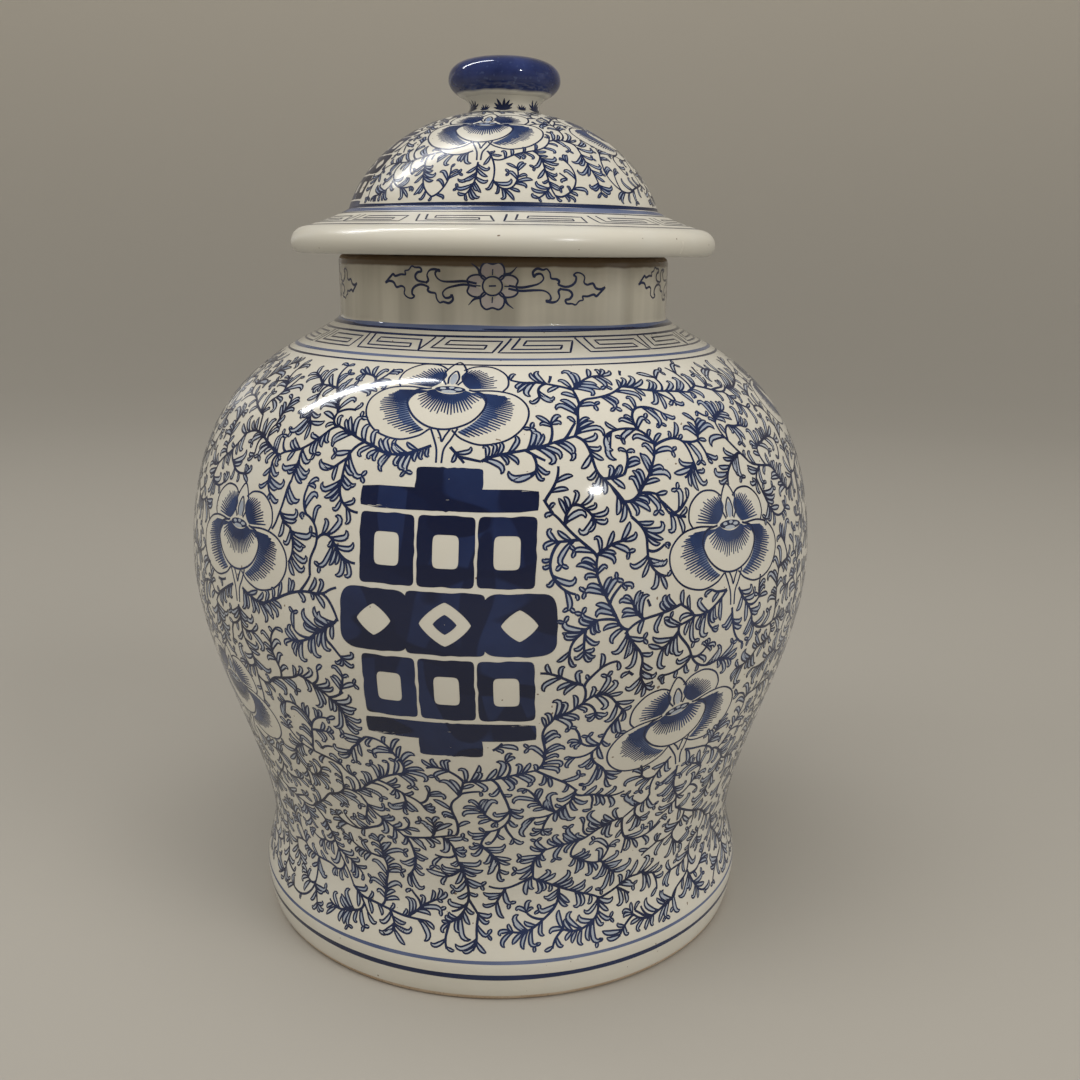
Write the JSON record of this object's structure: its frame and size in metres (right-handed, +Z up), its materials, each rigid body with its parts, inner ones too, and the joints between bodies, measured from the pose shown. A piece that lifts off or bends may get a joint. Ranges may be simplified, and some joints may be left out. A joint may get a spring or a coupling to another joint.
{
  "type": "ginger jar",
  "caption": "Covered baluster jar in blue-and-white porcelain: flared foot, short neck, loose domed lid with a wide brim, inner collar and bun knob.",
  "frame": {"origin": "centre of the flat ring face that the jar stands on", "axes": "+Z up along the jar's axis of revolution, towards the knob"},
  "size_m": [0.22, 0.22, 0.2993],
  "materials": {
    "painted_porcelain": "white body under a clear glossy glaze, painted in cobalt",
    "plain_porcelain": "white body under a clear glossy glaze",
    "neck_porcelain": "greyer and warmer glaze with faint upright streaks",
    "cobalt_glaze": "cobalt blue under a clear glossy glaze, uneven like brushwork",
    "bare_clay": "unglazed fired clay, matt, tinged brown"
  },
  "bodies": {
    "jar": {"foot_ring": "bare_clay", "base_slab": "plain_porcelain", "lower_wall": "painted_porcelain", "upper_wall": "painted_porcelain", "neck": "neck_porcelain"},
    "lid": {"lid_dome": "painted_porcelain", "lid_collar": "bare_clay", "knob_stem": "plain_porcelain", "knob_bun": "cobalt_glaze"}
  },
  "joints": [
    {"name": "lid_lift", "type": "slide", "parent": "jar", "child": "lid", "axis": [0, 0, 1], "range_m": [0, 0.12]}
  ]
}
